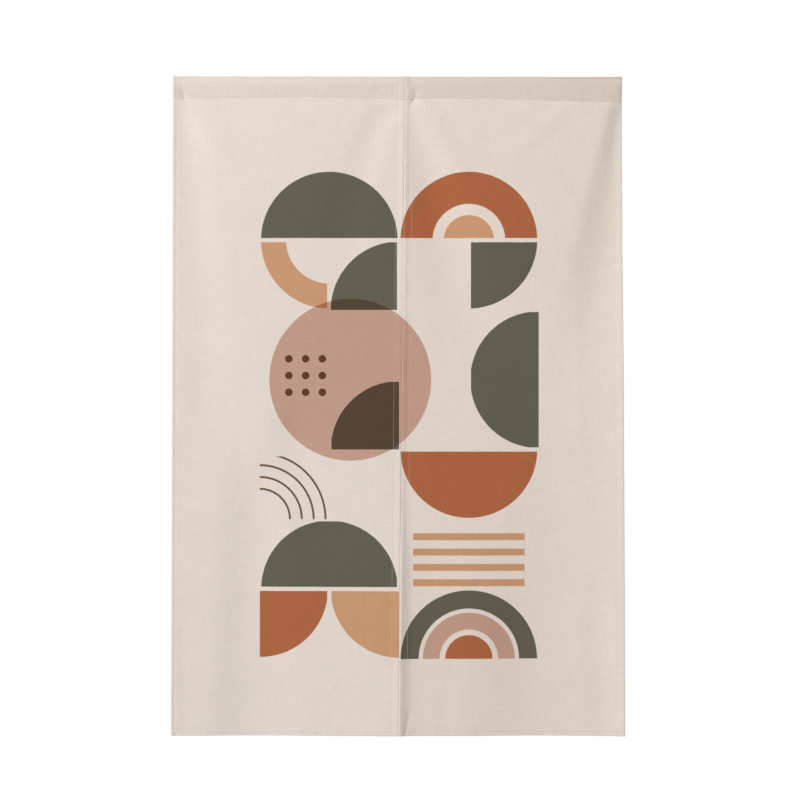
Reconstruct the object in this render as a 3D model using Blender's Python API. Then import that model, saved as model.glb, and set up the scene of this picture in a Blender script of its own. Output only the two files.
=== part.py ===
"""Split doorway curtain: two hemmed linen panels side by side, each folded over into a rod pocket.

X runs to the viewer's right along the rod, -Y towards the viewer and +Z up, in metres. The origin is on the
axis of the empty rod space, above the middle of the bottom hem. Each panel is a thin sheet lying on its folds.
"""
from collections import namedtuple

import bmesh
import bpy
import numpy as np

MM = 0.001

# Cloth and hems
CLOTH = 1.2 * MM                 # thickness of one layer as it hangs, with its slack
HEM_LAYERS = 2.2 * MM            # thickness where a side or bottom edge is turned under twice
SIDE_HEM = 15.5 * MM             # width of the turned side edges
BOTTOM_HEM = 7.0 * MM            # height of the turned bottom edge
HEM_SHOULDER = 2.0 * MM          # width over which a hem steps down to one layer
HEM_CREST = 3.0 * MM             # distance of the hem's roundest line from its edge
HEM_ROUND = 0.35 * MM            # how far the hem's crest swells and its edge falls back
PIECE_GAP = 0.3 * MM             # clear space between neighbouring solids

# Outline, each value at the rod (top) and at the bottom hem (foot)
FOOT_Z = -1191.4 * MM            # bottom edge
LEFT_EDGE_TOP = -409.6 * MM
LEFT_EDGE_FOOT = -413.8 * MM
RIGHT_EDGE_TOP = 407.2 * MM
RIGHT_EDGE_FOOT = 412.8 * MM
SLIT_TOP = 12.8 * MM             # the slit leans: the left panel is the wider one at the rod
SLIT_FOOT = 1.0 * MM

# Rod pocket
ROD_SPACE_RADIUS = 8.0 * MM      # inside of the rounded top of the pocket
SEAM_Z = -31.0 * MM              # the stitched line that closes the pocket
SEAM_DIP = 8.0 * MM              # how much lower the seam runs at the right end
SEAM_DIP_START = 50.0 * MM       # where that dip begins
SEAM_DIP_POWER = 1.6
TOP_TILT = 1.5 * MM              # fall of the top edge from left to right
LIP = 1.5 * MM                   # cloth below the seam line, turned under at the back
POCKET_FLOOR = 4.0 * MM          # the two walls part this far above the seam
POCKET_FLOOR_HALF = 0.3 * MM

# Mesh steps
COLUMN_STEP = 19.0 * MM
ROW_STEP = 26.0 * MM
CASING_STEP = 21.0 * MM
ARC_POINTS = 11
SIDE_POINTS = 4

# One row for each fold. Lengths in millimetres. The fold's line runs from (x_top, z_top) down to (x_low, z_low)
# and bows sideways by bow at its middle. It reaches left and right of the line by the given widths, at its top
# and low end. rise is its height towards the viewer, negative for a trough. fade_top and fade_low are the shares
# of its length over which it comes and goes, 0 where it runs out over the cloth's own edge.
Fold = namedtuple("Fold", "name x_top z_top x_low z_low bow left_top left_low right_top right_low "
                          "rise fade_top fade_low")

LEFT_FOLDS = [
    Fold("hangs_behind",    -100, -100, -100, -1192, 0, 900, 900, 900, 900, -4.7, 1.00, 0.00),
    Fold("outer_edge_trough", -394, -16, -344, -800, 12, 28,  74,  38,  92, -1.9, 0.08, 0.32),
    Fold("corner_ridge",    -376, -30, -262, -230,   0, 40,  50,  40,  90,  1.4, 0.12, 0.70),
    Fold("slit_sweep",       -18, -36,  -92, -420, -27, 36, 104,  36,  64, -1.9, 0.07, 0.48),
    Fold("middle_dip",      -190, -560, -180, -760,  0, 60,  60,  50,  60, -1.6, 0.40, 0.45),
    Fold("patch_ridge",     -246, -560, -244, -740,  0, 50,  50,  58,  58,  1.2, 0.35, 0.35),
    Fold("foot_valley",     -262, -600, -272, -1192, 0, 70,  80,  60, 120, -3.9, 0.38, 0.00),
    Fold("slit_edge_lift",   -25, -330,   89, -1420, 0, 128, 333, 60,  60, 11.5, 0.85, 0.00),
    Fold("outer_edge_roll", -409, -900, -413, -1192, 0, 30,  30,  26,  30,  1.2, 0.50, 0.00),
]
RIGHT_FOLDS = [
    Fold("slit_trough",       22, -20,  162, -620,   0, 24, 138,  34, 156, -4.6, 0.34, 0.50),
    Fold("slit_ridge",        36, -26,  124, -230,   0, 24,  44,  40,  70,  1.0, 0.12, 0.60),
    Fold("corner_fold",      412, -26,  345, -600,   0, 26, 118,  60, 100, -5.4, 0.07, 0.55),
    Fold("diagonal_crease",  318, -36,  190, -156,  -6, 38,  48,  28,  46,  0.9, 0.18, 0.45),
    Fold("outer_edge_rise",  490, -290,  490, -1600, 0, 320, 90,  60,  60,  9.6, 0.21, 0.55),
    Fold("outer_edge_curl",  446, -240,  450, -1400, 0, 96,  96,  60,  60,  4.2, 0.30, 0.00),
    Fold("slit_edge_lean",     3, -760,    1, -1192, 0, 40,  40,  60,  72,  1.8, 0.55, 0.00),
    Fold("slit_edge_turn",     3, -640,    1, -1192, 0, 40,  40,  24,  24,  3.8, 0.60, 0.00),
    Fold("foot_trough",      236, -720,  248, -1192, 0, 110, 130, 120, 160, -6.6, 0.75, 0.00),
    Fold("edge_valley",      366, -880,  379, -1192, 0, 46,  50,  30,  34, -1.3, 0.40, 0.00),
]


def smooth(value):
    """0 below 0, 1 above 1, and an even S between: 3t squared less 2t cubed."""
    t = np.clip(value, 0.0, 1.0)
    return t * t * (3.0 - 2.0 * t)


def fold_height(fold, x, z):
    """Height of one fold: its rise times a cosine squared across its line, times the fades along it."""
    t = (fold.z_top * MM - z) / ((fold.z_top - fold.z_low) * MM)
    along = np.clip(t, 0.0, 1.0)
    line = fold.x_top + (fold.x_low - fold.x_top) * along + fold.bow * 4.0 * along * (1.0 - along)
    left = fold.left_top + (fold.left_low - fold.left_top) * along
    right = fold.right_top + (fold.right_low - fold.right_top) * along
    offset = x - line * MM
    reach = np.where(offset < 0.0, left, right) * MM
    across = np.cos(0.5 * np.pi * np.clip(np.abs(offset) / reach, 0.0, 1.0)) ** 2
    fade = smooth(t / fold.fade_top)
    if fold.fade_low > 0.0:
        fade = fade * smooth((1.0 - t) / fold.fade_low)
    return fold.rise * MM * across * fade


def cloth_height(folds, x, z):
    """Height of the cloth towards the viewer: the sum of its folds."""
    return sum(fold_height(fold, x, z) for fold in folds)


def share_down(z):
    """0 at the rod's axis and 1 at the bottom edge."""
    return z / FOOT_Z


def left_edge(z):
    return LEFT_EDGE_TOP + (LEFT_EDGE_FOOT - LEFT_EDGE_TOP) * share_down(z)


def right_edge(z):
    return RIGHT_EDGE_TOP + (RIGHT_EDGE_FOOT - RIGHT_EDGE_TOP) * share_down(z)


def slit(z):
    return SLIT_TOP + (SLIT_FOOT - SLIT_TOP) * share_down(z)


def slit_left_side(z):
    return slit(z) - 0.5 * PIECE_GAP


def slit_right_side(z):
    return slit(z) + 0.5 * PIECE_GAP


def seam_z(x):
    """Height of the pocket seam: level, then dipping towards the right end."""
    reach = np.clip((x - SEAM_DIP_START) / (RIGHT_EDGE_TOP - SEAM_DIP_START), 0.0, 1.0)
    return SEAM_Z - SEAM_DIP * reach ** SEAM_DIP_POWER


def top_sag(x):
    """How far the pocket's rounded top lies below the rod line, from the top edge's slight tilt."""
    return TOP_TILT * (x - LEFT_EDGE_TOP) / (RIGHT_EDGE_TOP - LEFT_EDGE_TOP)


def add_node(name, points, faces):
    """Make one closed mesh object with its own linen material."""
    mesh = bpy.data.meshes.new(name)
    mesh.from_pydata([tuple(point) for point in points], [], faces)
    work = bmesh.new()
    work.from_mesh(mesh)
    bmesh.ops.triangulate(work, faces=work.faces[:], quad_method="SHORT_EDGE")
    bmesh.ops.recalc_face_normals(work, faces=work.faces[:])
    work.to_mesh(mesh)
    work.free()
    mesh.shade_smooth()
    mesh.set_sharp_from_angle(angle=np.radians(50.0))
    node = bpy.data.objects.new(name, mesh)
    bpy.context.collection.objects.link(node)
    mesh.materials.append(linen_material(name + "_linen"))
    return node


def linen_material(name):
    """Undyed linen: warm off-white, rough and not metallic."""
    material = bpy.data.materials.new(name)
    material.use_nodes = True
    shader = material.node_tree.nodes["Principled BSDF"]
    shader.inputs["Base Color"].default_value = (0.74, 0.66, 0.58, 1.0)
    shader.inputs["Roughness"].default_value = 0.92
    shader.inputs["Metallic"].default_value = 0.0
    return material


def hem_offsets():
    """Distances from a side edge at which the hem changes, and the hem's swell at each."""
    distance = np.array([0.0, HEM_CREST, SIDE_HEM, SIDE_HEM + HEM_SHOULDER])
    swell = np.array([-HEM_ROUND, HEM_ROUND, -HEM_ROUND, 0.0])
    layers = np.array([HEM_LAYERS, HEM_LAYERS, HEM_LAYERS, CLOTH])
    return distance, swell, layers


def make_panel(name, folds, edge_left, edge_right):
    """A sheet on its folds: a grid of columns and rows, its front on the folds and its back behind that."""
    distance, swell, layers = hem_offsets()
    hem_width = distance[-1]
    inner_count = int(round((edge_right(0.0) - edge_left(0.0)) / COLUMN_STEP))
    inner = np.linspace(0.0, 1.0, inner_count)[1:-1]
    foot_rise = np.array([BOTTOM_HEM + HEM_SHOULDER, BOTTOM_HEM, 0.0])
    row_count = int(round((SEAM_Z - FOOT_Z) / ROW_STEP))
    drop = np.concatenate([np.linspace(0.0, 1.0, row_count)[:-1], np.ones(3)])
    rise = np.concatenate([np.full(row_count - 1, foot_rise[0]), foot_rise])

    top = np.full((1, inner_count + 2 * len(distance) - 2), seam_z(0.0))
    for _ in range(2):
        left = edge_left(top)
        right = edge_right(top)
        span = right - left - 2.0 * hem_width
        x_top = np.concatenate([left[:, :4] + distance, left[:, :1] + hem_width + inner * span[:, :1],
                                right[:, :4] - distance[::-1]], axis=1)
        top = seam_z(x_top) - LIP - PIECE_GAP
    z = top + drop[:, None] * (FOOT_Z + rise[:, None] - top)
    z[-3:] = FOOT_Z + foot_rise[:, None]
    left = edge_left(z)
    right = edge_right(z)
    span = right - left - 2.0 * hem_width
    x = np.concatenate([left[:, :4] + distance, left[:, 4:-4] + hem_width + inner * span[:, 4:-4],
                        right[:, -4:] - distance[::-1]], axis=1)

    still = np.zeros(len(inner))
    across_swell = np.concatenate([swell, still, swell[::-1]])
    across_layers = np.concatenate([layers, still + CLOTH, layers[::-1]])
    thickness = np.tile(across_layers, (len(z), 1))
    thickness[-2:] = HEM_LAYERS
    front = -cloth_height(folds, x, z) - 0.5 * CLOTH - across_swell
    back = front + thickness

    rows, columns = x.shape
    points = np.concatenate([np.stack([x, front, z], axis=2).reshape(-1, 3),
                             np.stack([x, back, z], axis=2).reshape(-1, 3)])
    index = np.arange(rows * columns).reshape(rows, columns)
    behind = index + rows * columns
    faces = []
    for r in range(rows - 1):
        for c in range(columns - 1):
            faces.append((index[r, c], index[r + 1, c], index[r + 1, c + 1], index[r, c + 1]))
            faces.append((behind[r, c], behind[r, c + 1], behind[r + 1, c + 1], behind[r + 1, c]))
        faces.append((index[r, 0], behind[r, 0], behind[r + 1, 0], index[r + 1, 0]))
        faces.append((index[r, -1], index[r + 1, -1], behind[r + 1, -1], behind[r, -1]))
    for c in range(columns - 1):
        faces.append((index[0, c], index[0, c + 1], behind[0, c + 1], behind[0, c]))
        faces.append((index[-1, c], behind[-1, c], behind[-1, c + 1], index[-1, c + 1]))
    return add_node(name, points, [tuple(int(i) for i in face) for face in faces])


def pocket_ring(radius, centre_z, front_corner, back_corner, corner_z):
    """One closed ring of the pocket: up the front wall, over the round top and down the back wall.

    The straight walls run from the two corners to where they touch the circle.
    """
    reach = centre_z - corner_z
    front_dip = np.arcsin((radius + front_corner) / reach)
    back_dip = np.arcsin((radius - back_corner) / reach)
    angle = np.linspace(np.pi + front_dip, -back_dip, ARC_POINTS)
    arc = np.stack([radius * np.cos(angle), centre_z + radius * np.sin(angle)], axis=1)
    share = np.linspace(0.0, 1.0, SIDE_POINTS, endpoint=False)[:, None]
    front = np.array([front_corner, corner_z]) * (1.0 - share) + arc[0] * share
    back = np.array([back_corner, corner_z]) * (1.0 - share) + arc[-1] * share
    return np.concatenate([front, arc, back[::-1]])


def make_casing(name, folds, end_left, end_right):
    """The folded-over top of a panel: a tube of one layer around the rod space, open at both ends."""
    span = end_right - end_left
    count = int(round(span / CASING_STEP)) + 1
    sections = np.linspace(end_left, end_right, count)
    outer = []
    inner = []
    for x in sections:
        seam = float(seam_z(x))
        centre = -float(top_sag(x))
        front = -float(cloth_height(folds, x, seam)) - 0.5 * CLOTH
        middle = front + CLOTH
        outer.append(pocket_ring(ROD_SPACE_RADIUS + CLOTH, centre, front, front + 2.0 * CLOTH, seam - LIP))
        inner.append(pocket_ring(ROD_SPACE_RADIUS, centre, middle - POCKET_FLOOR_HALF,
                                 middle + POCKET_FLOOR_HALF, seam + POCKET_FLOOR))
    ring_size = len(outer[0])
    points = [(x, y, z) for x, ring in zip(sections, outer) for y, z in ring]
    points += [(x, y, z) for x, ring in zip(sections, inner) for y, z in ring]
    inside = count * ring_size
    faces = []
    for s in range(count - 1):
        for k in range(ring_size):
            a = s * ring_size + k
            b = s * ring_size + (k + 1) % ring_size
            faces.append((a, b, b + ring_size, a + ring_size))
            faces.append((inside + a, inside + a + ring_size, inside + b + ring_size, inside + b))
    for start in (0, (count - 1) * ring_size):
        for k in range(ring_size):
            a = start + k
            b = start + (k + 1) % ring_size
            faces.append((a, inside + a, inside + b, b))
    return add_node(name, points, faces)


def clear_scene():
    for item in list(bpy.data.objects):
        bpy.data.objects.remove(item, do_unlink=True)


clear_scene()
make_panel("panel_left", LEFT_FOLDS, left_edge, slit_left_side)
make_panel("panel_right", RIGHT_FOLDS, slit_right_side, right_edge)
make_casing("casing_left", LEFT_FOLDS, LEFT_EDGE_TOP, SLIT_TOP - 0.5 * PIECE_GAP)
make_casing("casing_right", RIGHT_FOLDS, SLIT_TOP + 0.5 * PIECE_GAP, RIGHT_EDGE_TOP)
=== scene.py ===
import math
from collections import namedtuple

import bpy
import numpy as np
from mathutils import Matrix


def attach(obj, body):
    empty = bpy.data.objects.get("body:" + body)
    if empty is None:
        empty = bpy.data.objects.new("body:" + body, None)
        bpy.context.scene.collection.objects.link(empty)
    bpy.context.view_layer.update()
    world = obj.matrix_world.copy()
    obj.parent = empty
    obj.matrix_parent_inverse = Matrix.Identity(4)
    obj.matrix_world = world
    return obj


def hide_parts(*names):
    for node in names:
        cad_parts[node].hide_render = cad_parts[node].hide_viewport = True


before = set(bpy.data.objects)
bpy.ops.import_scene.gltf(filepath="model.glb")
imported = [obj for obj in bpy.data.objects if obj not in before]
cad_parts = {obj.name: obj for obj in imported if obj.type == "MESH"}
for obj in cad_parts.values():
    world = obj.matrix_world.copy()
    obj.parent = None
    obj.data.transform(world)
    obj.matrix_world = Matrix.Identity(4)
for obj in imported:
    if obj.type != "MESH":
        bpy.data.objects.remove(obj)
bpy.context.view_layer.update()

# Linen, woven and printed
# The cloth is plain woven from uneven undyed linen thread, about fourteen to the centimetre each way. Its
# front is printed with flat fabric inks, which soak in: two that overlap darken each other, and the back
# shows a little of them.
MM = 0.001
CLOTH_COLOUR = (0.730, 0.657, 0.605)
INKS = {
    "olive": (0.110, 0.117, 0.078),
    "terracotta": (0.504, 0.144, 0.032),
    "tan": (0.738, 0.422, 0.231),
    "blush": (0.672, 0.447, 0.369),
    "brown": (0.170, 0.080, 0.020),
}
THREAD_PITCH = 0.72 * MM
PAINTED_WARM_SHADE_TINT = (1.01, 0.992, 0.981, 1.0)      # painted warm shade: the right-hand length, which lies in more shade, is tinted a little warmer
PAINTED_POCKET_SHADE_TINT = (0.970, 0.950, 0.943, 1.0)    # painted shade: the pocket is darkened, more so towards its right end
PAINTED_CREASE_SHADE_TINT = (0.78, 0.73, 0.69, 1.0)          # painted shade: a darker line along the pocket's top crease
CREASE_SHADE_LINE = 6.7 * MM             # height of that crease on the flat cloth
CREASE_SHADE_WIDTH = 3.0 * MM
PRINT_TILE = 127.0 * MM          # the print's shapes are drawn in tiles of this size
PRINT_LEFT = -252.0 * MM         # left side of the print's first column of tiles
PRINT_TOP = -162.0 * MM          # top of its first row
PRINT_EDGE = 0.5 * MM            # width over which an ink's edge fades into the threads

# One row for each printed shape: a ring, disc or block in tiles from the print's top left corner, right and
# down. It is what lies between the inner and outer radius about (centre_x, centre_y), inside the box from
# (left, top) to (right, low). An inner radius below 0 leaves no hole.
Shape = namedtuple("Shape", "ink centre_x centre_y inner outer left top right low")
SHAPES = [
    Shape("olive",      1.0, 1.0, -1.0, 0.98, 0.0, 0.0, 2.0, 0.97),
    Shape("terracotta", 3.0, 1.0, 0.52, 0.98, 2.0, 0.0, 4.0, 0.97),
    Shape("tan",        3.0, 1.0, -1.0, 0.36, 2.0, 0.0, 4.0, 0.97),
    Shape("olive",      3.0, 1.0, -1.0, 0.98, 3.03, 1.03, 4.0, 2.0),
    Shape("tan",        1.0, 1.0, 0.62, 0.98, 0.0, 1.03, 0.97, 2.0),
    Shape("blush",      1.3, 3.0, -1.0, 1.16, 0.0, 1.0, 3.0, 5.0),
    Shape("olive",      2.0, 2.0, -1.0, 0.98, 1.0, 1.03, 1.97, 2.0),
    Shape("olive",      2.0, 4.0, -1.0, 0.98, 1.03, 3.03, 2.0, 4.0),
    Shape("olive",      4.0, 3.0, -1.0, 0.98, 3.03, 2.03, 4.0, 3.97),
    Shape("terracotta", 3.0, 4.0, -1.0, 0.98, 2.0, 4.03, 4.0, 5.0),
    Shape("olive",      1.0, 6.0, -1.0, 0.98, 0.0, 5.03, 1.97, 5.97),
    Shape("terracotta", 0.0, 6.0, -1.0, 0.98, 0.0, 6.03, 0.97, 7.0),
    Shape("tan",        2.0, 6.0, -1.0, 0.98, 1.03, 6.03, 2.0, 7.0),
    Shape("olive",      3.0, 7.0, 0.72, 0.98, 2.0, 6.0, 4.0, 7.0),
    Shape("blush",      3.0, 7.0, 0.42, 0.66, 2.0, 6.0, 4.0, 7.0),
    Shape("terracotta", 3.0, 7.0, -1.0, 0.34, 2.0, 6.0, 4.0, 7.0),
]
for ring in range(4):
    radius = 0.42 + 0.17 * ring
    SHAPES.append(Shape("brown", 0.0, 5.0, radius, radius + 0.03, 0.0, 4.1, 0.97, 5.0))
for column in range(3):
    for row in range(3):
        SHAPES.append(Shape("brown", 0.42 + 0.24 * column, 2.7 + 0.24 * row, -1.0, 0.055, 0.0, 2.0, 3.0, 4.0))
for bar in range(4):
    top = 5.2 + 0.22 * bar
    SHAPES.append(Shape("tan", 3.0, 5.5, -1.0, 2.0, 2.2, top, 3.8, top + 0.1))


class Nodes:
    """Short calls for building a node tree: each adds one node, sets its values and joins its inputs."""

    def __init__(self, tree):
        self.tree = tree

    def add(self, kind, inputs=(), **settings):
        node = self.tree.nodes.new(kind)
        for key, value in settings.items():
            setattr(node, key, value)
        for key, value in dict(inputs).items():
            if isinstance(value, bpy.types.NodeSocket):
                self.tree.links.new(value, node.inputs[key])
            else:
                node.inputs[key].default_value = value
        return node

    def math(self, operation, *values):
        return self.add("ShaderNodeMath", enumerate(values), operation=operation).outputs[0]

    def vector(self, operation, *values, output=0):
        return self.add("ShaderNodeVectorMath", enumerate(values), operation=operation).outputs[output]

    def scale(self, vector, factor):
        return self.add("ShaderNodeVectorMath", {0: vector, "Scale": factor}, operation="SCALE").outputs[0]

    def noise(self, vector, scale=1.0, detail=1.0, roughness=0.5, output="Fac"):
        values = {"Vector": vector, "Scale": scale, "Detail": detail, "Roughness": roughness}
        return self.add("ShaderNodeTexNoise", values).outputs[output]

    def shake(self, vector, scale, reach):
        """The vector moved about by up to half of reach, from coloured noise."""
        drift = self.vector("SUBTRACT", self.noise(vector, scale, output="Color"), (0.5, 0.5, 0.5))
        return self.vector("ADD", vector, self.scale(drift, reach))

    def spread(self, value, low, high, to_low, to_high):
        """A value carried from one range to another and held inside it."""
        return self.add("ShaderNodeMapRange", {"Value": value, "From Min": low, "From Max": high,
                                               "To Min": to_low, "To Max": to_high}).outputs[0]

    def mix(self, share, first, second, blend="MIX"):
        return self.add("ShaderNodeMix", {0: share, 6: first, 7: second}, data_type="RGBA",
                        blend_type=blend).outputs[2]


def new_group(name, inputs, outputs):
    """A shader node group with named sockets, and its input and output nodes."""
    group = bpy.data.node_groups.new(name, "ShaderNodeTree")
    for socket, kind in inputs:
        group.interface.new_socket(name=socket, in_out="INPUT", socket_type=kind)
    for socket, kind in outputs:
        group.interface.new_socket(name=socket, in_out="OUTPUT", socket_type=kind)
    return group, group.nodes.new("NodeGroupInput"), group.nodes.new("NodeGroupOutput")


def ink_shape_group():
    """Mask of one printed shape: the least distance inside its ring and its box, faded over the edge."""
    group, given, result = new_group(
        "ink_shape",
        [("Point", "NodeSocketVector"), ("Centre", "NodeSocketVector"), ("Inner", "NodeSocketFloat"),
         ("Outer", "NodeSocketFloat"), ("Low", "NodeSocketVector"), ("High", "NodeSocketVector"),
         ("Edge", "NodeSocketFloat")],
        [("Mask", "NodeSocketFloat")])
    n = Nodes(group)
    point = given.outputs["Point"]
    radius = n.vector("DISTANCE", point, given.outputs["Centre"], output=1)
    ring = n.math("MINIMUM", n.math("SUBTRACT", given.outputs["Outer"], radius),
                  n.math("SUBTRACT", radius, given.outputs["Inner"]))
    inside_low = n.vector("SUBTRACT", point, given.outputs["Low"])
    inside_high = n.vector("SUBTRACT", given.outputs["High"], point)
    box = n.add("ShaderNodeSeparateXYZ", {0: n.vector("MINIMUM", inside_low, inside_high)})
    inside = n.math("MINIMUM", ring, n.math("MINIMUM", box.outputs[0], box.outputs[1]))
    mask = n.add("ShaderNodeClamp", {0: n.math("ADD", n.math("DIVIDE", inside, given.outputs["Edge"]), 0.5)})
    group.links.new(mask.outputs[0], result.inputs["Mask"])
    return group


def linen_weave_group():
    """Height and tone of a plain weave on flat cloth coordinates.

    Height is the product of two sines a thread apart, so threads cross over and under. Tone comes from long
    thin noise along each thread, which is how slubs look, and a broad faint mottling.
    """
    group, given, result = new_group(
        "linen_weave",
        [("Flat", "NodeSocketVector"), ("Pitch", "NodeSocketFloat"), ("Slub", "NodeSocketFloat")],
        [("Height", "NodeSocketFloat"), ("Tone", "NodeSocketFloat"), ("Fleck", "NodeSocketFloat")])
    n = Nodes(group)
    flat = given.outputs["Flat"]
    pitch = given.outputs["Pitch"]
    wound = n.shake(flat, 55.0, 1.6 * MM)
    spacing = n.add("ShaderNodeCombineXYZ", {0: pitch, 1: pitch, 2: 1.0}).outputs[0]
    threads = n.vector("DIVIDE", wound, spacing)
    axes = n.add("ShaderNodeSeparateXYZ", {0: threads})
    over = n.math("MULTIPLY", n.math("SINE", n.math("MULTIPLY", axes.outputs[0], math.pi)),
                  n.math("SINE", n.math("MULTIPLY", axes.outputs[1], math.pi)))
    crown = n.math("POWER", n.math("ABSOLUTE", over), 0.6)
    warp = n.noise(n.vector("MULTIPLY", threads, (0.55, 0.024, 0.0)), detail=2.0, roughness=0.6)
    turned = n.vector("ADD", n.vector("MULTIPLY", threads, (0.024, 0.55, 0.0)), (31.0, 7.0, 3.0))
    weft = n.noise(turned, detail=2.0, roughness=0.6)
    streaks = n.math("SUBTRACT", n.math("ADD", warp, weft), 1.0)
    mottle = n.math("MULTIPLY", n.math("SUBTRACT", n.noise(flat, 14.0, 2.0), 0.5), 0.22)
    tone = n.math("MULTIPLY", n.math("ADD", streaks, mottle), given.outputs["Slub"])
    height = n.math("ADD", crown, n.math("MULTIPLY", streaks, 0.8))
    fleck = n.noise(n.vector("MULTIPLY", threads, (0.5, 0.5, 0.0)), detail=3.0, roughness=0.7)
    group.links.new(height, result.inputs["Height"])
    group.links.new(tone, result.inputs["Tone"])
    group.links.new(n.spread(fleck, 0.35, 0.75, 0.0, 1.0), result.inputs["Fleck"])
    return group


INK_SHAPE = ink_shape_group()
LINEN_WEAVE = linen_weave_group()


def add_print(n, flat, cover, fleck, base):
    """The printed colours over the base: an ink's shapes are joined, then it multiplies what is under it."""
    frayed = n.shake(flat, 420.0, 0.9 * MM)
    moved = n.vector("SUBTRACT", frayed, (PRINT_LEFT, PRINT_TOP, 0.0))
    tiles = n.vector("MULTIPLY", moved, (1.0 / PRINT_TILE, -1.0 / PRINT_TILE, 0.0))
    colour = base
    for ink, tint in INKS.items():
        mask = 0.0
        for shape in (s for s in SHAPES if s.ink == ink):
            node = n.add("ShaderNodeGroup", {
                "Point": tiles, "Centre": (shape.centre_x, shape.centre_y, 0.0), "Inner": shape.inner,
                "Outer": shape.outer, "Low": (shape.left, shape.top, 0.0),
                "High": (shape.right, shape.low, 0.0), "Edge": PRINT_EDGE / PRINT_TILE}, node_tree=INK_SHAPE)
            mask = n.math("MAXIMUM", mask, node.outputs["Mask"])
        soaked = n.math("MULTIPLY", mask, n.spread(fleck, 0.0, 1.0, cover, cover - 0.05))
        colour = n.mix(soaked, colour, n.mix(1.0, colour, (*tint, 1.0), "MULTIPLY"))
    return colour


def linen_material(name, cover):
    """Printed linen: woven tone and height, painted shade on the pocket, its top crease and the right-hand
    length, inks at the given cover and a matte sheen.
    """
    material = bpy.data.materials.new(name)
    material.use_nodes = True
    n = Nodes(material.node_tree)
    shader = material.node_tree.nodes["Principled BSDF"]
    flat = n.add("ShaderNodeUVMap", uv_map="flat").outputs[0]
    weave = n.add("ShaderNodeGroup", {"Flat": flat, "Pitch": THREAD_PITCH, "Slub": 0.21},
                  node_tree=LINEN_WEAVE)
    woven = n.scale(CLOTH_COLOUR, n.math("ADD", 1.0, weave.outputs["Tone"]))
    across, down = n.add("ShaderNodeSeparateXYZ", {0: flat}).outputs[:2]
    # Painted shade: a darker line along the pocket's top crease, stronger where the pocket's painted shade is
    past = n.math("DIVIDE", n.math("SUBTRACT", down, CREASE_SHADE_LINE), CREASE_SHADE_WIDTH)
    bell = n.math("EXPONENT", n.math("MULTIPLY", n.math("MULTIPLY", past, past), -1.0))
    # Painted shade over the pocket, read from a point attribute
    painted_pocket_shade = n.add("ShaderNodeAttribute", attribute_name="painted_pocket_shade").outputs["Fac"]
    painted_crease_shade = n.math("MULTIPLY", bell, painted_pocket_shade)
    # Painted warm shade over the right-hand length
    on_right = n.spread(across, 0.0, 0.02, 0.0, 1.0)
    base = woven
    for share, tint in ((on_right, PAINTED_WARM_SHADE_TINT), (painted_pocket_shade, PAINTED_POCKET_SHADE_TINT), (painted_crease_shade, PAINTED_CREASE_SHADE_TINT)):
        base = n.mix(share, base, n.mix(1.0, base, tint, "MULTIPLY"))
    colour = add_print(n, flat, cover, weave.outputs["Fleck"], base)
    n.tree.links.new(colour, shader.inputs["Base Color"])
    rough = n.spread(weave.outputs["Height"], 0.0, 1.2, 0.95, 0.86)
    n.tree.links.new(rough, shader.inputs["Roughness"])
    bump = n.add("ShaderNodeBump", {"Height": weave.outputs["Height"], "Strength": 0.5,
                                    "Distance": 0.12 * MM})
    n.tree.links.new(bump.outputs[0], shader.inputs["Normal"])
    shader.inputs["Specular IOR Level"].default_value = 0.2
    shader.inputs["Sheen Weight"].default_value = 0.12
    shader.inputs["Sheen Roughness"].default_value = 0.5
    return material


linen_front = linen_material("linen_printed_front", 0.97)
linen_back = linen_material("linen_wrong_side", 0.30)

# The two lengths of cloth
# Each half of the curtain is one length of this linen. Its side edges and its foot are turned under twice and
# stitched, and its top is folded to the back and stitched down, which leaves a pocket for the rod.
CLOTH = 0.8 * MM                 # one layer
HEM_LAYERS = 2.1 * MM            # three layers pressed together
SIDE_HEM = 15.5 * MM
FOOT_HEM = 8.4 * MM
CAD_CLOTH = 1.2 * MM             # the solids' sheet, whose front face this cloth keeps to
GAP = 0.18 * MM                  # between the two lengths along the slit

FOOT_Z = -1191.4 * MM
LEFT_EDGE = (-409.6 * MM, -413.8 * MM)     # at the rod and at the foot, as the next two
RIGHT_EDGE = (407.2 * MM, 412.8 * MM)
SLIT = (12.8 * MM, 1.0 * MM)

POCKET_TOP = 9.2 * MM            # from the rod's axis up to the pocket's top
POCKET_DEPTH = (4.6 * MM, 10.0 * MM)        # from the axis out to its walls, at the left end and at the right
TOP_ROUND = 4.0 * MM             # height of the rounded top over the walls
BELLY_Z = (-5.9 * MM, 4.5 * MM)  # height at which the walls stand furthest out, left and right
BELLY_SOFT = 5.0 * MM            # height over which a wall bends there
UPPER_LEAN = 0.03                # slope of the walls above it
SEAM_Z = -31.0 * MM
SEAM_DIP = 8.0 * MM              # the pocket's seam runs lower towards the right end
SEAM_DIP_START = 50.0 * MM
SEAM_DIP_POWER = 1.6
TOP_TILT = 1.5 * MM
TURN_BELOW_SEAM = 1.5 * MM       # the pocket's back layer ends in a fold just below its stitches
TURN_UNDER = 9.0 * MM            # height of that doubled edge
LAYER_REST = 0.15 * MM           # between layers that lie on each other

# One row for each place where the seam was sewn a little high or low, in millimetres
Wander = namedtuple("Wander", "x half_width rise")
SEAM_WANDERS = [
    Wander(-409, 26, -1.4),
    Wander(-190, 82, 1.9),
    Wander(10, 42, -2.6),
    Wander(160, 20, 1.4),
]

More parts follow.
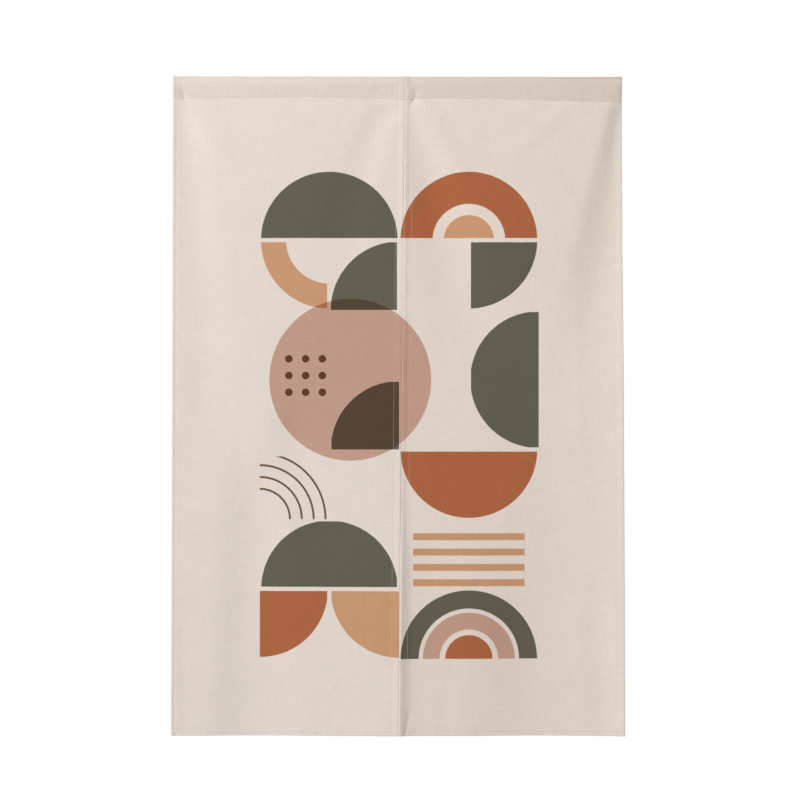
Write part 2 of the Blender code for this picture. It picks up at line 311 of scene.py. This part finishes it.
# One row for each fold, in millimetres, as the solids have them: the line from (x_top, z_top) down to
# (x_low, z_low) bows sideways by bow. The fold reaches left and right by the widths given at both its ends.
# It stands rise towards the viewer, or lies back where rise is below 0. The fades are shares of its length.
Fold = namedtuple("Fold", "name x_top z_top x_low z_low bow left_top left_low right_top right_low "
                          "rise fade_top fade_low")
LEFT_FOLDS = [
    Fold("hangs_behind",    -100, -100, -100, -1192, 0, 900, 900, 900, 900, -4.7, 1.00, 0.00),
    Fold("outer_edge_trough", -394, -16, -344, -800, 12, 28,  74,  38,  92, -1.9, 0.08, 0.32),
    Fold("corner_ridge",    -376, -30, -262, -230,   0, 40,  50,  40,  90,  1.4, 0.12, 0.70),
    Fold("slit_sweep",       -18, -36,  -92, -420, -27, 36, 104,  36,  64, -1.9, 0.07, 0.48),
    Fold("middle_dip",      -190, -560, -180, -760,  0, 60,  60,  50,  60, -1.6, 0.40, 0.45),
    Fold("patch_ridge",     -246, -560, -244, -740,  0, 50,  50,  58,  58,  1.2, 0.35, 0.35),
    Fold("foot_valley",     -262, -600, -272, -1192, 0, 70,  80,  60, 120, -3.9, 0.38, 0.00),
    Fold("slit_edge_lift",   -25, -330,   89, -1420, 0, 128, 333, 60,  60, 11.5, 0.85, 0.00),
    Fold("outer_edge_roll", -409, -900, -413, -1192, 0, 30,  30,  26,  30,  1.2, 0.50, 0.00),
]
RIGHT_FOLDS = [
    Fold("slit_trough",       22, -20,  162, -620,   0, 24, 138,  34, 156, -4.6, 0.34, 0.50),
    Fold("slit_ridge",        36, -26,  124, -230,   0, 24,  44,  40,  70,  1.0, 0.12, 0.60),
    Fold("corner_fold",      412, -26,  345, -600,   0, 26, 118,  60, 100, -5.4, 0.07, 0.55),
    Fold("diagonal_crease",  318, -36,  190, -156,  -6, 38,  48,  28,  46,  0.9, 0.18, 0.45),
    Fold("outer_edge_rise",  490, -290,  490, -1600, 0, 320, 90,  60,  60,  9.6, 0.21, 0.55),
    Fold("outer_edge_curl",  446, -240,  450, -1400, 0, 96,  96,  60,  60,  4.2, 0.30, 0.00),
    Fold("slit_edge_lean",     3, -760,    1, -1192, 0, 40,  40,  60,  72,  1.8, 0.55, 0.00),
    Fold("slit_edge_turn",     3, -640,    1, -1192, 0, 40,  40,  24,  24,  3.8, 0.60, 0.00),
    Fold("foot_trough",      236, -720,  248, -1192, 0, 110, 130, 120, 160, -6.6, 0.75, 0.00),
    Fold("edge_valley",      366, -880,  379, -1192, 0, 46,  50,  30,  34, -1.3, 0.40, 0.00),
]

# One row for each small crease, in millimetres: a straight soft line from (x_0, v_0) to (x_1, v_1) on the
# flat cloth, rise high over a half width of width. Most of them start where the stitches hold the cloth.
Crease = namedtuple("Crease", "name x_0 v_0 x_1 v_1 width rise")
CREASES = [
    Crease("pocket_corner_top",      -408,     0, -406,   -14,  8.0,  0.6),
    Crease("pocket_corner_low",      -408,   -16, -405,   -34, 13.0,  1.2),
    Crease("pocket_corner_pinch",    -391,   -23, -389,   -31,  3.0, -1.1),
    Crease("pocket_pinch_swell",       22,   -14,   21,   -31,  5.5,  0.7),
    Crease("pocket_pinch_slit",        32,   -20,   31,   -33,  3.6, -0.9),
    Crease("pocket_pinch_slit_low",    30,   -33,   22,   -43,  2.6, -0.5),
    Crease("pocket_end_fall",         410,   -14,  409,   -38,  8.0, -1.4),
    Crease("pocket_wrinkle",          342,   -20,  358,   -30,  3.5, -0.6),
    Crease("pocket_dimple_outer",     -34,   -13,  -32,   -17,  4.0, -0.5),
    Crease("pocket_dimple_inner",      -8,    -9,   -7,   -12,  4.0, -0.5),
    Crease("middle_line",             323,  -361,  329,  -671, 10.0,  0.35),
    Crease("middle_streak",           192,  -742,  193,  -800, 12.0,  0.45),
    Crease("foot_streak",             -76, -1093, -126, -1175, 12.0, -0.25),
    Crease("foot_pleat_first",         66, -1110,   65, -1192, 18.0,  0.70),
    Crease("foot_pleat_second",       112, -1110,  113, -1192, 15.0,  0.50),
    Crease("foot_pinch",               13, -1190,   19, -1152,  3.0, -1.5),
    Crease("foot_corner_line",       -409, -1100, -409, -1188,  1.3, -0.4),
    Crease("foot_corner_dent",       -405, -1191, -404, -1187,  1.6, -0.9),
]

# How a turned side edge swells: by rise at the distance crest from the edge, by a share of it at the very
# edge, and no more at the distance end
Hem = namedtuple("Hem", "rise share_at_edge crest end")
OUTER_LEFT_HEM = Hem(0.52 * MM, 0.95, 2.6 * MM, 6.2 * MM)
SLIT_LEFT_HEM = Hem(0.58 * MM, 0.60, 2.2 * MM, 13.5 * MM)
SLIT_RIGHT_HEM = Hem(0.90 * MM, 0.98, 2.4 * MM, 11.0 * MM)
OUTER_RIGHT_HEM = Hem(0.55 * MM, 0.90, 2.0 * MM, 17.0 * MM)
FOOT_SWELL = 0.30 * MM
SIDE_STITCH = 14.5 * MM          # stitches from the side edge
FOOT_GROOVE = 0.24 * MM          # how deep the foot's row of stitches sinks in, and then the seam's
SEAM_GROOVE = 0.16 * MM
GROOVE_WIDTH = 1.0 * MM
PUCKER = 0.20 * MM               # drawn-in ripples that the stitches leave
PUCKER_REACH = 11.0 * MM
EDGE_ROUND = (0.7 * MM, 1.1 * MM)          # width of a folded edge's rounding, at the rod and at the foot
EDGE_THIN = 0.1 * MM             # half the thickness left at the very edge
POCKET_SHADE_LEFT = 0.28              # how much of its painted shade the pocket has at the left end
POCKET_SHADE_GAIN = 0.75              # and how much more at the right end
UNEVEN = 0.05 * MM               # slight hills and hollows all over the cloth
UNEVEN_LONGEST = 74.0 * MM
UNEVEN_WAVES = 9


def smooth(value):
    """0 below 0, 1 above 1, and an even S between: 3t squared less 2t cubed."""
    t = np.clip(value, 0.0, 1.0)
    return t * t * (3.0 - 2.0 * t)


def fold_height(fold, x, z):
    """Height of one fold: its rise times a cosine squared across its line, times the fades along it."""
    t = (fold.z_top * MM - z) / ((fold.z_top - fold.z_low) * MM)
    along = np.clip(t, 0.0, 1.0)
    line = fold.x_top + (fold.x_low - fold.x_top) * along + fold.bow * 4.0 * along * (1.0 - along)
    left = fold.left_top + (fold.left_low - fold.left_top) * along
    right = fold.right_top + (fold.right_low - fold.right_top) * along
    offset = x - line * MM
    reach = np.where(offset < 0.0, left, right) * MM
    across = np.cos(0.5 * np.pi * np.clip(np.abs(offset) / reach, 0.0, 1.0)) ** 2
    fade = smooth(t / fold.fade_top)
    if fold.fade_low > 0.0:
        fade = fade * smooth((1.0 - t) / fold.fade_low)
    return fold.rise * MM * across * fade


def crease_height(crease, x, v):
    """Height of one crease: its rise times a bell across the line, and a bell's tail past either end."""
    start = np.array([crease.x_0, crease.v_0]) * MM
    run = np.array([crease.x_1, crease.v_1]) * MM - start
    length = np.hypot(*run)
    along = ((x - start[0]) * run[0] + (v - start[1]) * run[1]) / length
    across = ((x - start[0]) * run[1] - (v - start[1]) * run[0]) / length
    past = np.maximum(np.maximum(-along, along - length), 0.0)
    return crease.rise * MM * np.exp(-(across ** 2 + past ** 2) / (crease.width * MM) ** 2)


def ripple(distance, longest, phase):
    """An uneven ripple between about -1 and 1: three sines whose lengths don't divide each other."""
    turn = 2.0 * np.pi * distance / longest
    return (np.sin(turn + phase) + 0.8 * np.sin(1.73 * turn + 2.1 * phase)
            + 0.6 * np.sin(2.61 * turn + 0.7 * phase)) / 2.4


def unevenness(x, v, phase):
    """Hills and hollows between about -1 and 1: sine waves that each run a golden angle on, ever shorter."""
    total = np.zeros_like(x)
    for wave in range(UNEVEN_WAVES):
        heading = 2.39996 * wave + phase
        length = UNEVEN_LONGEST * 0.91 ** wave
        along = x * math.cos(heading) + v * math.sin(heading)
        total = total + np.sin(2.0 * np.pi * along / length + 1.7 * wave + 3.0 * phase)
    return total / math.sqrt(UNEVEN_WAVES)


def from_rod_to_foot(pair, z):
    """A value given at the rod and at the foot, in a straight line between them."""
    return pair[0] + (pair[1] - pair[0]) * z / FOOT_Z


def share_across(x):
    """0 at the curtain's left end and 1 at its right."""
    return (x - LEFT_EDGE[0]) / (RIGHT_EDGE[0] - LEFT_EDGE[0])


def across_pair(pair, x):
    """A value given at the left end and at the right end, in an even S between them."""
    return pair[0] + (pair[1] - pair[0]) * smooth(share_across(x))


def seam_z(x):
    """Height of the pocket's seam: level, then dipping towards the right end, with a bell for each wander."""
    reach = np.clip((x - SEAM_DIP_START) / (RIGHT_EDGE[0] - SEAM_DIP_START), 0.0, 1.0)
    wander = sum(w.rise * MM * np.exp(-((x - w.x * MM) / (w.half_width * MM)) ** 2) for w in SEAM_WANDERS)
    return SEAM_Z - SEAM_DIP * reach ** SEAM_DIP_POWER + wander


def top_sag(x):
    """How far the pocket's round top lies below the rod line, from the slight tilt of the top edge."""
    return TOP_TILT * share_across(x)


class Side:
    """One length of cloth: its folds, side edges and hems, and its own phase for what is uneven."""

    def __init__(self, folds, edges, shifts, hems, foot_stitch, phase):
        self.folds = folds
        self.edges = edges
        self.shifts = shifts
        self.hems = hems
        self.foot_stitch = foot_stitch
        self.phase = phase

    def left(self, z):
        return from_rod_to_foot(self.edges[0], z) + self.shifts[0]

    def right(self, z):
        return from_rod_to_foot(self.edges[1], z) - self.shifts[1]

    def from_edge(self, x, z):
        """Distance from the nearer side edge."""
        return np.minimum(x - self.left(z), self.right(z) - x)

    def front(self, x, z):
        """Depth of the flat hanging front before its small relief: minus the folds' height."""
        return -sum(fold_height(fold, x, z) for fold in self.folds) - 0.5 * CAD_CLOTH

    def layers(self, x, z):
        """Thickness: three layers in the hems and one between them, with a short step."""
        step = 0.5 * MM
        beside = smooth((SIDE_HEM + step - self.from_edge(x, z)) / step)
        below = smooth((FOOT_Z + FOOT_HEM + step - z) / step)
        return CLOTH + (HEM_LAYERS - CLOTH) * np.maximum(beside, below)

    def hem_swell(self, x, v):
        """Swell of the two side hems: an S up from the edge to the crest, and an S down to the hem's end."""
        swell = np.zeros_like(x)
        for hem, edge in zip(self.hems, (x - self.left(v), self.right(v) - x)):
            up = hem.share_at_edge + (1.0 - hem.share_at_edge) * smooth(edge / hem.crest)
            down = 1.0 - smooth((edge - hem.crest) / (hem.end - hem.crest))
            swell = np.maximum(swell, hem.rise * up * down)
        return swell

    def relief(self, x, v, from_seam):
        """Small relief outwards: hem swells, stitch grooves, puckers, creases and a faint unevenness.

        v is the height on the flat cloth, and from_seam the distance along the cloth from the nearest seam.
        """
        edge = self.from_edge(x, v)
        foot = v - FOOT_Z
        from_stitch = foot - self.foot_stitch
        below = FOOT_SWELL * (1.0 - smooth((foot - 0.3 * FOOT_HEM) / FOOT_HEM))
        height = np.maximum(self.hem_swell(x, v), below)
        height = height - FOOT_GROOVE * np.exp(-(from_stitch / GROOVE_WIDTH) ** 2)
        height = height - SEAM_GROOVE * np.exp(-(from_seam / GROOVE_WIDTH) ** 2)
        side_pull = np.exp(-((edge - SIDE_STITCH) / PUCKER_REACH) ** 2)
        foot_pull = np.exp(-(from_stitch / PUCKER_REACH) ** 2)
        seam_pull = np.exp(-(from_seam / PUCKER_REACH) ** 2)
        height = height + PUCKER * side_pull * ripple(v + 0.35 * edge, 43.0 * MM, self.phase)
        height = height + PUCKER * foot_pull * ripple(x, 37.0 * MM, self.phase + 1.0)
        height = height + PUCKER * seam_pull * ripple(x, 31.0 * MM, self.phase + 2.0)
        for crease in CREASES:
            height = height + crease_height(crease, x, v)
        return height + UNEVEN * unevenness(x, v, self.phase)


LEFT = Side(LEFT_FOLDS, (LEFT_EDGE, SLIT), (0.0, 0.5 * GAP), (OUTER_LEFT_HEM, SLIT_LEFT_HEM), 5.9 * MM, 0.4)
RIGHT = Side(RIGHT_FOLDS, (SLIT, RIGHT_EDGE), (0.5 * GAP, 0.0), (SLIT_RIGHT_HEM, OUTER_RIGHT_HEM),
             7.1 * MM, 2.9)


def rounded_fall(distance, z, thickness):
    """How far a face falls back near a folded edge: a quarter of an ellipse over the edge's rounding."""
    t = np.clip(1.0 - distance / from_rod_to_foot(EDGE_ROUND, z), 0.0, 1.0)
    return (0.5 * thickness - EDGE_THIN) * (1.0 - np.sqrt(1.0 - t * t))


# Distances from a side edge at which the mesh has a column: close at the rim, the stitches and the hem's step
EDGE_STEPS = np.array([0.0, 0.06, 0.2, 0.42, 0.7, 1.2, 1.9, 2.7, 4.0, 5.5, 7.0, 8.5, 10.0, 11.4, 12.6, 13.4,
                       14.0, 14.5, 15.0, 15.5, 16.0, 17.2, 19.0, 21.6, 25.0]) * MM
INNER_STEP = 4.6 * MM


def column_places(side, z):
    """x of each column at the heights z: fixed steps at both edges and even ones between."""
    left = side.left(z)[:, None]
    right = side.right(z)[:, None]
    inner = np.linspace(0.0, 1.0, int((side.right(0.0) - side.left(0.0)) / INNER_STEP))[1:-1]
    span = right - left - 2.0 * EDGE_STEPS[-1]
    return np.concatenate([left + EDGE_STEPS, left + EDGE_STEPS[-1] + inner * span, right - EDGE_STEPS[::-1]],
                          axis=1)


def soft_above(value):
    """The value well above 0, and 0 well below: half of t plus the root of t and BELLY_SOFT squared."""
    return 0.5 * (value + np.sqrt(value ** 2 + BELLY_SOFT ** 2))


def wall_depth(z, depth, belly, seam, seam_depth):
    """How far a pocket wall stands out from the rod's axis: furthest at the belly, straight to both sides."""
    upper = UPPER_LEAN * soft_above(z - belly)
    lean = (depth - UPPER_LEAN * soft_above(seam - belly) - seam_depth) / soft_above(belly - seam)
    return depth - upper - lean * soft_above(belly - z)


def cloth_path(side, x):
    """Depth and height down one length: the back layer from its fold, over the round top, down the front.

    Returns y and z, a row for each step along the cloth and a column for each x, and the front seam's row.
    """
    seam = seam_z(x)
    front = side.front(x, seam)
    single = side.layers(x, seam)
    back = front + 2.0 * single + CLOTH + LAYER_REST
    depth = across_pair(POCKET_DEPTH, x)
    belly = across_pair(BELLY_Z, x)
    centre = POCKET_TOP - TOP_ROUND - top_sag(x)
    half_width = wall_depth(centre, depth, belly, seam, -front)
    half_step = 0.5 * MM
    just_above = wall_depth(centre + half_step, depth, belly, seam, -front)
    just_below = wall_depth(centre - half_step, depth, belly, seam, -front)
    lean = np.arctan(-(just_above - just_below) / (2.0 * half_step) * TOP_ROUND / half_width)
    shoulder = centre + TOP_ROUND * np.sin(lean)

    turn = np.array([0.0, 0.06, 0.2, 0.42, 0.7, 1.1]) * MM
    down_back = [(back, seam - TURN_BELOW_SEAM + step) for step in turn]
    shares = np.array([0.0, 0.09, 0.17, 0.24, 0.30, 0.36, 0.42, 0.49, 0.58, 0.68, 0.78, 0.86, 0.92, 0.96,
                       0.985, 1.0])
    levels = [shoulder + (seam - shoulder) * share for share in shares]
    up_back = [(wall_depth(z, depth, belly, seam, back), z) for z in levels[::-1]]
    over = [(half_width * np.cos(angle), centre + TOP_ROUND * np.sin(angle))
            for angle in (lean + (np.pi - 2.0 * lean) * s for s in np.linspace(0.0, 1.0, 19)[1:-1])]
    down_front = [(-wall_depth(z, depth, belly, seam, -front), z) for z in levels]
    path = np.array(down_back + up_back + over + down_front)
    return path[:, 0], path[:, 1], len(path) - 1


def panel_rows(side, x):
    """Heights of the rows below the seam: close under the seam and at the foot, even between."""
    under_seam = np.array([0.5, 1.0, 1.6, 2.6, 4.2, 6.8, 10.5]) * MM
    rim = np.array([1.1, 0.7, 0.42, 0.2, 0.06, 0.0]) * MM
    at_stitch = side.foot_stitch + np.array([1.9, 1.2, 0.7, 0.3, 0.0, -0.3, -0.7, -1.2, -2.0, -3.2]) * MM
    above_foot = np.concatenate([np.array([15.0, 12.5, 10.5]) * MM, at_stitch, rim])
    even_step = 4.5 * MM
    seam = seam_z(x)[None, :]
    start = seam - under_seam[-1]
    end = FOOT_Z + above_foot[0]
    share = np.linspace(0.0, 1.0, int((SEAM_Z - FOOT_Z) / even_step))[1:-1, None]
    return np.concatenate([seam - under_seam[:, None], start + share * (end - start),
                           np.broadcast_to(FOOT_Z + above_foot[:, None], (len(above_foot), len(x)))])


def grid_faces(rows, columns):
    """Corner numbers of a closed sheet of rows by columns: outside, inside and rims, all facing outwards."""
    outer = np.arange(rows * columns).reshape(rows, columns)
    inner = outer + rows * columns

    def quads(a, b, c, d):
        return np.stack([a, b, c, d], axis=-1).reshape(-1, 4)

    outside = quads(outer[:-1, :-1], outer[1:, :-1], outer[1:, 1:], outer[:-1, 1:])
    inside = quads(inner[:-1, :-1], inner[:-1, 1:], inner[1:, 1:], inner[1:, :-1])
    rims = np.concatenate([
        quads(outer[:-1, 0], inner[:-1, 0], inner[1:, 0], outer[1:, 0]),
        quads(outer[:-1, -1], outer[1:, -1], inner[1:, -1], inner[:-1, -1]),
        quads(outer[0, :-1], outer[0, 1:], inner[0, 1:], inner[0, :-1]),
        quads(outer[-1, :-1], inner[-1, :-1], inner[-1, 1:], outer[-1, 1:]),
    ])
    return outside, inside, rims


def make_object(name, points, faces, materials):
    """A smooth mesh object at the origin, with its points and faces given as arrays."""
    mesh = bpy.data.meshes.new(name)
    mesh.from_pydata(points, [], faces)
    mesh.shade_smooth()
    for material in materials:
        mesh.materials.append(material)
    piece = bpy.data.objects.new(name, mesh)
    bpy.context.collection.objects.link(piece)
    return piece


def hang_cloth(name, side):
    """One length of cloth as a closed thin sheet, and its rows of stitches.

    The outer face is the path plus the relief along its normal; the inner face lies one thickness inside it.
    Each row of stitches is a row or column of either face, with the way out of the cloth at each point.
    """
    places = column_places(side, np.array([SEAM_Z]))[0]
    y_top, z_top, seam_row = cloth_path(side, places)
    z = np.concatenate([z_top, panel_rows(side, places)])
    x = column_places(side, z[:, z.shape[1] // 2])
    y = np.concatenate([y_top, side.front(x[len(z_top):], z[len(z_top):])])
    base = np.stack([x, y, z], axis=2)

    step = np.hypot(np.diff(y, axis=0), np.diff(z, axis=0))
    length = np.concatenate([np.zeros((1, x.shape[1])), np.cumsum(step, axis=0)])
    v = z.copy()
    v[:seam_row] = z[seam_row] + (length[seam_row] - length[:seam_row])
    back_seam = v[0] - TURN_BELOW_SEAM
    from_seam = np.minimum(np.abs(v - z[seam_row]), np.abs(v - back_seam))

    normal = np.cross(np.gradient(base, axis=0), np.gradient(base, axis=1))
    normal /= np.linalg.norm(normal, axis=2, keepdims=True)
    turned_under = smooth((v - v[0] + TURN_UNDER) / (0.6 * MM))
    thickness = side.layers(x, np.minimum(v, 0.0)) + CLOTH * turned_under
    rim = np.minimum(side.from_edge(x, z), np.minimum(v - FOOT_Z, v[0] - v))
    fall = rounded_fall(rim, z, thickness)
    outer = base + normal * (side.relief(x, v, from_seam) - fall)[:, :, None]
    inner = base - normal * (thickness - fall)[:, :, None]

    outside, inside, rims = grid_faces(*x.shape)
    points = np.concatenate([outer.reshape(-1, 3), inner.reshape(-1, 3)])
    faces = np.concatenate([outside, inside, rims])
    piece = make_object(name, points, faces, (linen_front, linen_back))
    wrong_side = np.zeros(len(faces), dtype=np.int32)
    wrong_side[len(outside):len(outside) + len(inside)] = 1
    piece.data.polygons.foreach_set("material_index", wrong_side)
    # Painted shade for the pocket above its seam, stronger towards the right end, kept as a point attribute
    # for the material
    above_seam = smooth((v - z[seam_row]) / (0.8 * MM) + 0.5)
    painted_pocket_shade = above_seam * (POCKET_SHADE_LEFT + POCKET_SHADE_GAIN * share_across(x) ** 3)
    shading = piece.data.attributes.new("painted_pocket_shade", "FLOAT", "POINT")
    shading.data.foreach_set("value", np.tile(painted_pocket_shade.ravel(), 2))
    flat = np.tile(np.stack([x, v], axis=2).reshape(-1, 2), (2, 1))
    piece.data.uv_layers.new(name="flat").data.foreach_set("uv", flat[faces.ravel()].ravel())

    at_side = int(np.argmin(np.abs(EDGE_STEPS - SIDE_STITCH)))
    at_foot = int(np.argmin(np.abs(z[:, 0] - FOOT_Z - side.foot_stitch)))
    at_back_seam = int(np.argmin(np.abs(v[:, 0] - back_seam[0])))
    shown = np.concatenate([outer, normal], axis=2)
    hidden = np.concatenate([inner, -normal], axis=2)
    rows_of_stitches = {
        "sides": [shown[:, at_side], shown[:, -1 - at_side],
                  hidden[seam_row + 2:, at_side], hidden[seam_row + 2:, -1 - at_side]],
        "foot": [shown[at_foot], hidden[at_foot]],
        "pocket": [shown[seam_row], shown[at_back_seam]],
    }
    return piece, rows_of_stitches


cloth_left, rows_left = hang_cloth("cloth_left", LEFT)
cloth_right, rows_right = hang_cloth("cloth_right", RIGHT)
for piece, solids in ((cloth_left, ("panel_left", "casing_left")),
                      (cloth_right, ("panel_right", "casing_right"))):
    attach(piece, "root")
    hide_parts(*solids)

# Sewing thread
# Matte two-ply thread close to the cloth's colour, in rows of lockstitch along the hems and the pocket seam.
# A few heavier stitches at the seam hold the two lengths together above the slit.
STITCH_PITCH = 3.4 * MM
STITCH_LENGTH = 2.7 * MM
THREAD_RADIUS = 0.18 * MM
THREAD_COLOUR = (0.735, 0.65, 0.59)
FOOT_THREAD_COLOUR = (0.54, 0.42, 0.34)
TACK_COLOUR = (0.50, 0.35, 0.25)
TACK_FROM = 4.5 * MM            # the heavier stitches' first and last place along the seam
TACK_TO = 29.0 * MM
TACK_RADIUS = 0.27 * MM

# A stitch is a bead of rings: where each lies along the stitch, how far it stands out and how thick it is
RING_ALONG = np.array([-0.5, -0.36, 0.0, 0.36, 0.5])
RING_OUT = np.array([-0.8, 0.15, 0.45, 0.15, -0.8])
RING_SIZE = np.array([0.55, 1.0, 1.05, 1.0, 0.55])
RING_POINTS = 6


def even_stitches(line, pitch):
    """Start, end and way out of each stitch, evenly along a line of points with their normals."""
    step = np.linalg.norm(np.diff(line[:, :3], axis=0), axis=1)
    along = np.concatenate([[0.0], np.cumsum(step)])
    count = int(along[-1] / pitch)
    middle = (np.arange(count) + 0.5) * along[-1] / count
    half = 0.5 * STITCH_LENGTH

    def at(places):
        return np.stack([np.interp(places, along, line[:, k]) for k in range(line.shape[1])], axis=1)

    return at(middle - half)[:, :3], at(middle + half)[:, :3], at(middle)[:, 3:]


def bead_faces():
    """Corner numbers of one bead: the bands between its rings, and two end caps."""
    rings = len(RING_ALONG)
    start = np.arange(RING_POINTS)
    following = (start + 1) % RING_POINTS
    low = np.arange(rings - 1)[:, None] * RING_POINTS
    high = low + RING_POINTS
    bands = np.stack([low + start, low + following, high + following, high + start], axis=-1).reshape(-1, 4)
    cap = np.array([[0, 3, 2, 1], [0, 5, 4, 3]])
    last = (rings - 1) * RING_POINTS + np.array([[0, 1, 2, 3], [0, 3, 4, 5]])
    return np.concatenate([bands, cap, last])


def sew(name, lines, pitch, thread_radius, material):
    """Beads of thread along the given lines, as one mesh.

    A bead's point is its stitch's middle plus its ring's place along the stitch plus a circle about that.
    """
    rows = zip(*(even_stitches(line, pitch) for line in lines))
    start, end, out = (np.concatenate(row) for row in rows)
    run = end - start
    across = np.cross(run, out)
    across /= np.linalg.norm(across, axis=1, keepdims=True)
    angle = 2.0 * np.pi * np.arange(RING_POINTS) / RING_POINTS
    along = np.repeat(RING_ALONG, RING_POINTS)
    sideways = (RING_SIZE[:, None] * np.cos(angle)).ravel() * thread_radius
    outwards = (RING_OUT[:, None] + RING_SIZE[:, None] * np.sin(angle)).ravel() * thread_radius
    middle = 0.5 * (start + end)
    points = (middle[:, None] + along[:, None] * run[:, None] + sideways[:, None] * across[:, None]
              + outwards[:, None] * out[:, None]).reshape(-1, 3)
    shift = len(along) * np.arange(len(middle))[:, None, None]
    return make_object(name, points, (bead_faces() + shift).reshape(-1, 4), (material,))


def thread_material(name, colour):
    """Matte thread: its colour a little uneven along the row, and a fine raised twist."""
    material = bpy.data.materials.new(name)
    material.use_nodes = True
    n = Nodes(material.node_tree)
    shader = material.node_tree.nodes["Principled BSDF"]
    place = n.add("ShaderNodeTexCoord").outputs["Object"]
    tone = n.spread(n.noise(place, 160.0, 2.0), 0.3, 0.7, 0.82, 1.12)
    n.tree.links.new(n.scale(colour, tone), shader.inputs["Base Color"])
    twist = n.add("ShaderNodeTexWave", {"Vector": place, "Scale": 900.0, "Distortion": 1.5},
                  wave_type="BANDS", bands_direction="DIAGONAL").outputs["Fac"]
    n.tree.links.new(n.spread(twist, 0.0, 1.0, 0.88, 0.72), shader.inputs["Roughness"])
    bump = n.add("ShaderNodeBump", {"Height": twist, "Strength": 0.6, "Distance": 0.05 * MM})
    n.tree.links.new(bump.outputs[0], shader.inputs["Normal"])
    shader.inputs["Specular IOR Level"].default_value = 0.3
    return material


thread = thread_material("linen_thread", THREAD_COLOUR)
foot_thread = thread_material("brownish_thread", FOOT_THREAD_COLOUR)
tack_thread = thread_material("brown_thread", TACK_COLOUR)


def cut_size(side):
    """Width and length of the flat cloth: the hanging size plus what its hems and its pocket take up."""
    middle = 0.5 * FOOT_Z
    width = side.right(middle) - side.left(middle) + 4.0 * SIDE_HEM
    pocket_back = POCKET_TOP - SEAM_Z + TURN_BELOW_SEAM + TURN_UNDER
    return width, POCKET_TOP - FOOT_Z + pocket_back + 2.0 * FOOT_HEM


for side, cloth, rows_of_stitches in ((LEFT, cloth_left, rows_left), (RIGHT, cloth_right, rows_right)):
    stitches = []
    for place, lines in rows_of_stitches.items():
        row_thread = foot_thread if place == "foot" else thread
        name = "stitches_" + place + cloth.name.removeprefix("cloth")
        stitches.append(sew(name, lines, STITCH_PITCH, THREAD_RADIUS, row_thread))
    seam_line = rows_of_stitches["pocket"][0]
    tacked = seam_line[(seam_line[:, 0] > TACK_FROM) & (seam_line[:, 0] < TACK_TO)]
    name = "tack" + cloth.name.removeprefix("cloth")
    stitches.append(sew(name, [tacked], 0.5 * STITCH_PITCH, TACK_RADIUS, tack_thread))
    for piece in stitches:
        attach(piece, "root")
    cut_size(side)

# The room
# A pale floor, a plain white surround and soft light from the upper left, with the camera straight in front.
PHOTO_SIZE = 800
PIXEL = 1.82 * MM                # real size of one pixel of the photograph at the cloth
ROD_PIXEL = (398.0, 81.35)       # where the frame's origin lies in the photograph
LENS = 100.0
SENSOR = 36.0
FLOOR_Z = -2.05

centre_x = (0.5 * PHOTO_SIZE - ROD_PIXEL[0]) * PIXEL
centre_z = -(0.5 * PHOTO_SIZE - ROD_PIXEL[1]) * PIXEL
distance = PHOTO_SIZE * PIXEL * LENS / SENSOR
camera_data = bpy.data.cameras.new("camera")
camera_data.lens = LENS
camera_data.sensor_width = SENSOR
camera = bpy.data.objects.new("camera", camera_data)
camera.location = (centre_x, -distance, centre_z)
camera.rotation_euler = (math.radians(90.0), 0.0, 0.0)
bpy.context.collection.objects.link(camera)
bpy.context.scene.camera = camera


def add_area_light(name, place, aim, size, power, colour):
    """A square soft light at a place, turned to face a point."""
    data = bpy.data.lights.new(name, "AREA")
    data.size = size
    data.energy = power
    data.color = colour
    light = bpy.data.objects.new(name, data)
    light.location = place
    way = np.array(aim) - np.array(place)
    level = math.hypot(way[0], way[1])
    light.rotation_euler = (math.atan2(level, -way[2]), 0.0, math.atan2(way[1], way[0]) - math.pi / 2)
    bpy.context.collection.objects.link(light)
    return light


MIDDLE = (0.0, 0.0, -0.55)
add_area_light("key", (-2.89, -4.59, 3.15), MIDDLE, 1.7, 310.0, (1.0, 0.985, 0.965))
add_area_light("side", (-9.0, -2.6, 0.6), MIDDLE, 1.8, 328.0, (1.0, 0.98, 0.96))

world = bpy.data.worlds.new("surround")
world.use_nodes = True
w = Nodes(world.node_tree)
backdrop = world.node_tree.nodes["Background"]
rays = w.add("ShaderNodeLightPath")
fill = w.mix(rays.outputs["Is Camera Ray"], (0.352, 0.343, 0.335, 1.0), (1.0, 1.0, 1.0, 1.0))
world.node_tree.links.new(fill, backdrop.inputs["Color"])
bpy.context.scene.world = world
bpy.context.scene.view_settings.view_transform = "Standard"

floor_corners = np.array([[-3.0, -2.0, FLOOR_Z], [3.0, -2.0, FLOOR_Z],
                          [3.0, 2.5, FLOOR_Z], [-3.0, 2.5, FLOOR_Z]])
floor_paint = bpy.data.materials.new("pale_floor")
floor_paint.use_nodes = True
floor_paint.node_tree.nodes["Principled BSDF"].inputs["Base Color"].default_value = (0.7, 0.7, 0.69, 1.0)
floor_paint.node_tree.nodes["Principled BSDF"].inputs["Roughness"].default_value = 0.7
floor = make_object("floor", floor_corners, np.array([[0, 1, 2, 3]]), (floor_paint,))
